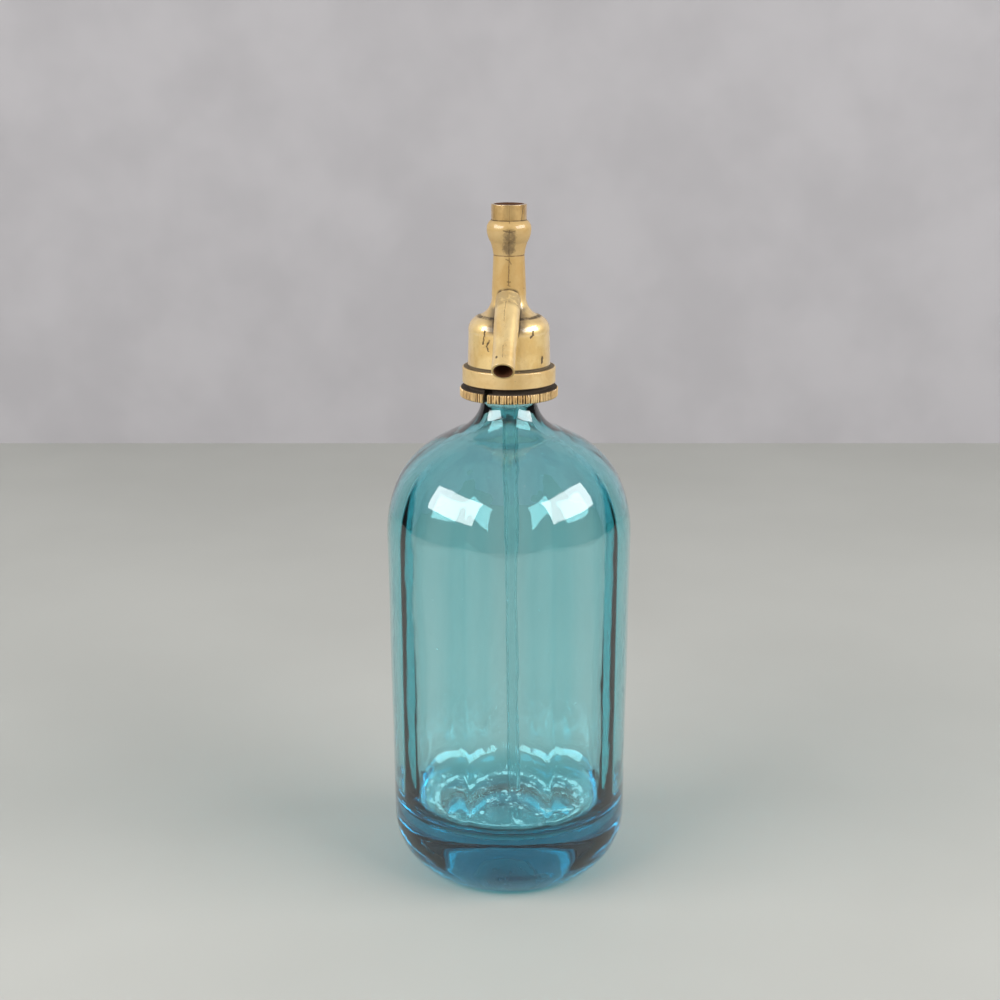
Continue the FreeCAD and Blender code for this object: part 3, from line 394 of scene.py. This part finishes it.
def brass(name, marks=None, tones=(PALE, WARM, DEEP), rough=0.42, coat=1.0):
    """Worn brass. Marks give (mask, colour, depth) layers over it."""
    look = Look(name)
    cloud = look.noise(0.09, 4.0, 0.6, distortion=0.4)
    grain = look.noise(0.8, 4.0, 0.6)
    colour = look.mix(look.smooth(cloud, 0.38, 0.66), tones[0], tones[1])
    stain = look.all_of(look.smooth(look.noise(0.22, 5.0, 0.7, distortion=0.8), 0.60, 0.74),
                        look.smooth(grain, 0.40, 0.65))
    colour = look.mix(look.share(stain, 0.55), colour, tones[2])
    pits = look.smooth(look.noise(1.7, 2.0, 0.5), 0.735, 0.78)
    layers = [(look.share(pits, 0.7), SOOT, 0.10)]
    if marks:
        layers += marks(look)
    dull = None
    relief = look.share(look.noise(0.28, 3.0, 0.55), 0.16)
    for mask, tint, depth in layers:
        colour = look.mix(mask, colour, tint)
        relief = look.math("MULTIPLY_ADD", mask, -depth / BRASS_RELIEF, relief)
        dull = mask if dull is None else look.math("MAXIMUM", dull, mask)
    look.feed(look.shader.inputs["Base Color"], colour)
    worn = look.smooth(grain, 0.3, 0.75, rough - 0.06, rough + 0.10)
    look.feed(look.shader.inputs["Roughness"], look.math("MULTIPLY_ADD", dull, 0.30, worn))
    look.feed(look.shader.inputs["Metallic"],
              look.math("MULTIPLY_ADD", dull, -BRASS_METALLIC * 0.75, BRASS_METALLIC))
    look.shader.inputs["Coat Roughness"].default_value = POLISH_ROUGHNESS
    look.shader.inputs["Coat IOR"].default_value = POLISH_IOR
    look.feed(look.shader.inputs["Coat Weight"], look.math("MULTIPLY_ADD", dull, -coat, coat))
    look.feed(look.shader.inputs["Normal"], look.bump(relief, BRASS_RELIEF))
    return look


def head_marks(look):
    """Grime, grooves, cracks and bare bores on the casting, painted shade with the grime at the
    spout's root, and a painted reflection on the bulb.
    """
    height = look.part("Z")
    radius = look.radius()
    uneven = look.noise(0.5, 4.0, 0.65)
    wide = look.noise(0.14, 3.0, 0.6)
    # The ledge over the band, dark all round
    ledge = look.all_of(look.band(height, 230.9, 232.0, 0.35), look.smooth(radius, 19.9, 19.3))
    ledge = look.all_of(ledge, look.smooth(uneven, 0.25, 0.42, 0.55, 1.0))
    # The groove where the flare meets the dome
    groove = look.all_of(look.band(height, 252.75, 253.15, 0.4),
                         look.smooth(uneven, 0.34, 0.55, 0.3, 1.0))
    # Grime round the spout's root, partly painted shade in the hollow corners between the spout and
    # the dome
    near = look.from_spout_axis()
    corner = look.all_of(look.smooth(near, 10.5, 6.4), look.band(height, 248.2, 256.0, 2.4),
                         look.smooth(wide, 0.30, 0.55, 0.6, 1.0))
    front = look.smooth(look.part("Y"), -5.0, -6.5)
    seam = look.all_of(look.smooth(near, 6.3, 5.6), front, look.smooth(uneven, 0.3, 0.5, 0.4, 1.0))
    # The line under the bulb and the joint under the collar
    ring_line = look.all_of(look.band(height, 278.55, 278.85, 0.16),
                            look.smooth(uneven, 0.3, 0.5, 0.45, 0.9))
    joint = look.all_of(look.smooth(height, 292.9, 293.4), look.smooth(radius, 7.9, 7.6),
                        look.smooth(wide, 0.35, 0.6, 0.4, 1.0))
    under = look.smooth(height, 224.6, 224.1)
    bores = look.any_of(
        look.all_of(look.smooth(radius, 6.95, 6.85), look.smooth(height, 283.0, 284.0)), under)
    # Hair cracks up the front, deeper ones on the dome, and a pit beside them
    fine = look.cracks([
        [(0.8, -7.8, 293.2), (0.9, -9.4, 289.4), (0.4, -7.0, 281.0), (0.5, -6.7, 278.6)],
        [(-1.6, -9.3, 289.6), (0.9, -9.4, 288.9), (3.2, -8.9, 289.5)],
        [(0.5, -6.7, 278.0), (0.3, -7.1, 266.3)],
        [(-0.8, -6.64, 277.4), (0.7, -6.7, 276.8), (1.3, -6.64, 275.5)],
        [(-0.2, -7.1, 268.0), (1.1, -7.0, 268.0)],
        [(0.0, -7.1, 266.7), (0.8, -7.1, 266.3)],
        [(4.5, -5.3, 265.0), (6.6, -2.8, 264.8)],
    ], 0.32, 0.35, 0.24)
    deep = look.cracks([
        [(-9.0, -14.8, 248.3), (-10.0, -14.4, 242.8)],
        [(-7.2, -15.9, 244.3), (-8.4, -15.4, 241.8), (-7.5, -15.9, 240.1)],
        [(11.0, -13.4, 248.3), (11.1, -13.6, 246.6), (10.1, -14.2, 245.5)],
    ], 0.62, 0.6, 0.34)
    pit = look.cracks([[(14.74, -9.8, 236.2), (14.76, -9.9, 234.4)]], 1.3, 0.5, 0.35)
    specks = look.all_of(look.smooth(look.noise(0.9, 3.0, 0.6), 0.68, 0.73),
                         look.band(height, 225.0, 246.0, 1.0))
    # A painted reflection: a dark brown patch on the bulb's front, below the lamp glints, stands in
    # for the dark room reflected in the polished brass
    painted_reflection = look.all_of(
        look.cracks([[(0.9, -9.3, 287.6), (0.5, -7.3, 281.8)]], 4.6, 1.2, 1.0),
        look.smooth(uneven, 0.25, 0.6, 0.25, 0.75))
    # The neck and the band are duller than the dome
    upper = look.smooth(height, 255.0, 266.0)
    rim = look.all_of(look.smooth(height, 231.6, 231.0), look.smooth(radius, 19.0, 19.6))
    return [
        (look.share(upper, 0.62), AGED, 0.0),
        (look.share(rim, 0.34), AGED, 0.0),
        (look.share(painted_reflection, 0.95), srgb(92, 72, 42), 0.0),
        (look.share(ledge, 0.93), srgb(96, 84, 66), 0.05),
        (look.share(corner, 0.9), srgb(112, 98, 78), 0.04),
        (look.share(groove, 0.9), SOOT, 0.10),
        (look.share(seam, 0.8), SOOT, 0.05),
        (look.share(ring_line, 0.75), srgb(96, 70, 36), 0.05),
        (look.share(joint, 0.8), SOOT, 0.05),
        (look.share(fine, 0.72), srgb(78, 56, 30), 0.06),
        (look.share(deep, 0.9), SOOT, 0.18),
        (look.share(pit, 0.92), SOOT, 0.25),
        (look.share(specks, 0.55), SOOT, 0.08),
        (look.share(bores, 0.92), RUST, 0.0),
    ]


def spout_marks(look):
    """Grime and painted shade at the root, cracks along the top and a brown bore."""
    near = look.from_spout_axis()
    along = look.along_spout()
    bore = look.smooth(near, 4.15, 4.0)
    # The root's grey-brown is partly grime, partly painted shade where the spout meets the dome
    root = look.all_of(look.smooth(along, 13.5, 11.5),
                       look.smooth(look.noise(0.5, 4.0), 0.3, 0.55, 0.4, 1.0))
    fine = look.cracks([
        [(-1.2, -11.6, 260.7), (0.9, -11.8, 260.6)],
        [(-0.36, -12.2, 260.4), (-0.7, -16.0, 257.3), (-0.63, -20.6, 253.5)],
        [(3.2, -11.4, 259.8), (4.5, -10.9, 258.4)],
        [(-0.35, -30.2, 245.2), (-0.15, -35.3, 241.1)],
    ], 0.2, 0.4, 0.22)
    pit = look.cracks([[(-2.9, -34.0, 241.0), (-2.7, -34.3, 240.7)]], 0.9, 0.3, 0.3)
    smear = look.all_of(look.cracks([[(0.2, -22.0, 252.3), (1.0, -35.0, 241.2)]], 1.6, 1.4, 1.0),
                        look.smooth(look.noise(0.6, 4.0, 0.65), 0.45, 0.7))
    lip = look.smooth(along, 44.6, 44.9)
    return [
        (look.share(root, 0.6), srgb(112, 92, 62), 0.02),
        (look.share(smear, 0.45), srgb(150, 120, 80), 0.02),
        (look.share(fine, 0.75), srgb(84, 58, 32), 0.08),
        (look.share(pit, 0.9), SOOT, 0.2),
        (look.share(look.math("SUBTRACT", lip, bore, clamp=True), 0.35), DEEP, 0.0),
        (look.share(bore, 0.96), srgb(92, 42, 16), 0.0),
    ]


def collar_marks(look):
    """A dark foot, fine cracks and a brown bore."""
    radius = look.radius()
    height = look.part("Z")
    bore = look.smooth(radius, 6.4, 6.28)
    foot = look.all_of(look.smooth(height, 293.9, 293.4),
                       look.smooth(look.noise(0.6, 4.0), 0.3, 0.5, 0.5, 1.0))
    hair = look.cracks([[(6.3, -4.1, 299.9), (5.6, -5.0, 293.5)]], 0.3, 0.25, 0.2)
    fine = look.cracks([
        [(0.7, -7.5, 299.6), (0.8, -7.5, 293.5)],
        [(2.6, -7.1, 298.5), (2.7, -7.0, 298.3)],
    ], 0.12, 0.25, 0.2)
    return [
        (look.share(foot, 0.85), SOOT, 0.05),
        (look.share(fine, 0.5), srgb(104, 74, 40), 0.05),
        (look.share(hair, 0.85), SOOT, 0.12),
        (look.share(bore, 0.93), RUST, 0.0),
    ]


def ring_marks(look):
    """Dirt in its cut rim, and a darkened upper face and inner collar that are partly dirt and
    partly painted shade in the gap under the head.
    """
    radius = look.radius()
    height = look.part("Z")
    # Painted shade, partly dirt: the flange's upper face and the collar inside it are darkened
    # where they lie in the gap under the head
    top = look.all_of(look.smooth(height, 221.7, 221.95),
                      look.smooth(look.noise(0.5, 4.0), 0.2, 0.4, 0.75, 1.0))
    under = look.smooth(radius, 19.9, 19.4)
    grooves = look.smooth(radius, 21.15, 20.6)
    return [
        (look.share(grooves, 0.9), srgb(98, 68, 36), 0.0),
        (look.share(look.any_of(top, under), 0.95), srgb(64, 54, 44), 0.0),
    ]


cast_look = brass("cast_brass", head_marks)
spout_look = brass("spout_brass", spout_marks)
collar_look = brass("collar_brass", collar_marks,
                    tones=(srgb(208, 172, 112), srgb(188, 150, 90), DEEP))
ring_look = brass("ring_brass", ring_marks, rough=0.5, coat=0.5,
                  tones=(srgb(232, 198, 138), srgb(208, 168, 108), DEEP))
lever_look = brass("lever_brass")
machined_look = brass("machined_brass", coat=0.1,
                      tones=(srgb(206, 172, 110), srgb(184, 148, 88), DEEP))
dress(["head_body"], cast_look)
dress(["spout"], spout_look)
dress(["top_collar"], collar_look)
dress(["lever"], lever_look)
dress(["tube_holder", "valve_seat", "valve_stem", "valve_cup", "valve_nut", "packing_washer",
       "gland_nut", "spring_washer"], machined_look)


def plain(name, first, second, scale, metallic, low, high, bump_size):
    """A simple surface in two tones with its own grain, rough from low to high."""
    look = Look(name)
    cloud = look.noise(scale, 4.0, 0.6)
    colour = look.mix(look.smooth(cloud, 0.35, 0.65), first, second)
    look.feed(look.shader.inputs["Base Color"], colour)
    look.feed(look.shader.inputs["Roughness"], look.smooth(cloud, 0.3, 0.7, low, high))
    look.shader.inputs["Metallic"].default_value = metallic
    look.feed(look.shader.inputs["Normal"], look.bump(look.noise(scale * 4, 3.0), bump_size))
    return look


steel_look = plain("spring_steel", srgb(176, 174, 168), srgb(140, 132, 122), scale=0.8,
                   metallic=1.0, low=0.28, high=0.45, bump_size=0.03)
rubber_look = plain("old_rubber", srgb(50, 48, 45), srgb(66, 60, 54), scale=0.5,
                    metallic=0.0, low=0.6, high=0.8, bump_size=0.06)
fibre_look = plain("red_fibre", srgb(150, 74, 52), srgb(124, 58, 42), scale=0.6,
                   metallic=0.0, low=0.65, high=0.85, bump_size=0.05)
dress(["fulcrum_pin"], steel_look)
dress(["tube_bush", "neck_gasket", "ring_liner", "valve_rubber", "stem_packing"], rubber_look)
dress(["holder_washer"], fibre_look)

# The return spring's coil, a copy of its part's mesh; the real spring shortens as the stem goes
# down

coil = add_piece("return_spring_coil", "root", "spring_steel", steel_look, "return_spring")
coil.data = bpy.data.objects["return_spring"].data.copy()
coil.data.materials.clear()
coil.data.materials.append(steel_look.material)
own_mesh(coil)

# Neck ring with its rough serrations

RING_TURN = math.radians(65.0)
RING_SPLIT = 2.4
SERRATIONS = 116
SERRATION_STEPS = 7
RIM_RADIUS = 20
DEEPEST_CUT = 0.78
RING_SHARP = math.radians(35)
RING_SECTION = [
    (12.4, 218.0), (16.0, 218.0), (19.6, 218.0), (20.85, 218.0), (21.22, 218.4), (21.24, 219.3),
    (21.24, 220.7), (21.22, 221.6), (20.85, 222.0), (19.6, 222.0), (17.6, 222.0), (17.6, 229.0),
    (14.9, 229.0), (14.9, 222.6), (12.4, 222.6),
]


def serration(angle, height):
    """How deep the rim is cut at an angle, from uneven grooves."""
    cell = angle / (2 * math.pi) * SERRATIONS
    cell += 0.35 * noise.noise(Vector((cell * 0.37, 3.1, height * 0.05)))
    number = math.floor(cell)
    depth = 0.22 + 0.62 * abs(noise.noise(Vector((number * 1.73, 0.4, 5.2)))) * 2
    width = 0.34 + 0.14 * noise.noise(Vector((number * 2.31, 8.8, 1.4)))
    across = abs(cell - number - 0.5) / width
    lean = noise.noise(Vector((number * 0.9, height * 0.8, 2.0)))
    return min(DEEPEST_CUT, depth) * max(0.0, 1 - across ** 2) * (1 + 0.8 * lean)


def ring_half_mesh(piece, start):
    """A half ring, cut flat at both ends."""
    steps = SERRATIONS * SERRATION_STEPS // 2
    mesh = bmesh.new()
    rows = []
    for step in range(steps + 1):
        row = []
        for radius, height in RING_SECTION:
            inset = math.asin(RING_SPLIT / 2 / radius)
            swing = inset + (math.pi - 2 * inset) * step / steps
            angle = start + swing
            reach = radius
            if radius > RIM_RADIUS:
                reach -= serration(angle % (2 * math.pi), height)
            row.append(mesh.verts.new((reach * math.cos(angle) * MM, reach * math.sin(angle) * MM,
                                       height * MM)))
        rows.append(row)
    count = len(RING_SECTION)
    for first, second in zip(rows, rows[1:]):
        for number in range(count):
            following = (number + 1) % count
            mesh.faces.new((first[number], second[number], second[following], first[following]))
    for row in (rows[0], rows[-1]):
        bmesh.ops.triangulate(mesh, faces=[mesh.faces.new(row)])
    bmesh.ops.recalc_face_normals(mesh, faces=mesh.faces)
    for face in mesh.faces:
        face.smooth = True
    for edge in mesh.edges:
        if len(edge.link_faces) == 2 and edge.calc_face_angle() > RING_SHARP:
            edge.smooth = False
    mesh.to_mesh(piece.data)
    mesh.free()


for node_name, extra in (("ring_half_left", math.pi), ("ring_half_right", 0.0)):
    half = add_piece(node_name + "_rim", "root", "ring_brass", ring_look, node_name)
    ring_half_mesh(half, RING_TURN + math.pi + extra)

# Stage, lamps and camera

CAMERA_TURN, CAMERA_DIP = 4.0, 15.4
CAMERA_PLACE = (0.0487, -0.6963, 0.363)
CAMERA_LENS, CAMERA_SHIFT = 59.04, -0.009
AIM = Vector((0, 0, 0.17))
SKY_COLOUR = (0.93, 0.95, 1.0, 1)


def stage_plane(name, corners, first, second, scale, rough):
    """A flat part of the stage in two close tones."""
    mesh = bpy.data.meshes.new(name)
    mesh.from_pydata(corners, [], [(0, 1, 2, 3)])
    plane = bpy.data.objects.new(name, mesh)
    bpy.context.scene.collection.objects.link(plane)
    look = Look(name)
    cloud = look.noise(scale, 3.0, 0.55)
    mixed = look.mix(look.smooth(cloud, 0.3, 0.7), first, second)
    look.feed(look.shader.inputs["Base Color"], mixed)
    look.shader.inputs["Roughness"].default_value = rough
    look.shader.inputs["Specular IOR Level"].default_value = 0.25
    mesh.materials.append(look.material)


WALL_BACK, WALL_TALL = 0.824, 1.3
HALF = 1.5
stage_plane("floor", [(-HALF, -HALF, 0), (HALF, -HALF, 0), (HALF, HALF, 0), (-HALF, HALF, 0)],
            srgb(184, 184, 178), srgb(179, 179, 173), 0.004, 0.6)
turn = math.radians(CAMERA_TURN)
side = Vector((math.cos(turn), math.sin(turn), 0))
back = Vector((-math.sin(turn), math.cos(turn), 0)) * WALL_BACK
up = Vector((0, 0, WALL_TALL))
left, right = back - side * HALF, back + side * HALF
stage_plane("wall", [tuple(left), tuple(right), tuple(right + up), tuple(left + up)],
            srgb(182, 179, 181), srgb(174, 171, 173), 0.01, 0.9)


LAMP_LIFT, LAMP_DISTANCE = math.radians(29), 1.5
LAMP_WIDTH, LAMP_HEIGHT, LAMP_POWER = 1.39, 0.71, 23.5


def softbox(name, azimuth):
    """A rectangular lamp aimed at the object. Azimuth runs from the front towards plus X."""
    lamp = bpy.data.lights.new(name, "AREA")
    lamp.shape = "RECTANGLE"
    lamp.size = LAMP_WIDTH
    lamp.size_y = LAMP_HEIGHT
    lamp.energy = LAMP_POWER
    holder = bpy.data.objects.new(name, lamp)
    bpy.context.scene.collection.objects.link(holder)
    around, flat = math.radians(azimuth), math.cos(LAMP_LIFT)
    way = Vector((math.sin(around) * flat, -math.cos(around) * flat, math.sin(LAMP_LIFT)))
    holder.location = AIM + way * LAMP_DISTANCE
    holder.rotation_euler = way.to_track_quat("Z", "Y").to_euler()


softbox("softbox_right", CAMERA_TURN + 67)
softbox("softbox_left", CAMERA_TURN - 61)

# A sky that is dim at the horizon and brighter overhead
world = bpy.data.worlds.new("studio")
bpy.context.scene.world = world
world.use_nodes = True
sky = world.node_tree.nodes
ways = world.node_tree.links
facing = sky.new("ShaderNodeTexCoord")
split = sky.new("ShaderNodeSeparateXYZ")
ways.new(facing.outputs["Generated"], split.inputs[0])
fade = sky.new("ShaderNodeMapRange")
fade.interpolation_type = "SMOOTHSTEP"
for key, value in (("From Min", 0.05), ("From Max", 0.85), ("To Min", 0.06), ("To Max", 0.34)):
    fade.inputs[key].default_value = value
ways.new(split.outputs["Z"], fade.inputs["Value"])
sky["Background"].inputs["Color"].default_value = SKY_COLOUR
ways.new(fade.outputs[0], sky["Background"].inputs["Strength"])

camera = bpy.data.objects.new("camera", bpy.data.cameras.new("camera"))
bpy.context.scene.collection.objects.link(camera)
camera.location = CAMERA_PLACE
camera.rotation_euler = (math.radians(90 - CAMERA_DIP), 0, math.radians(CAMERA_TURN))
camera.data.lens = CAMERA_LENS
camera.data.shift_x = CAMERA_SHIFT
camera.data.clip_start = 0.01
bpy.context.scene.camera = camera
bpy.context.scene.view_settings.view_transform = "Standard"
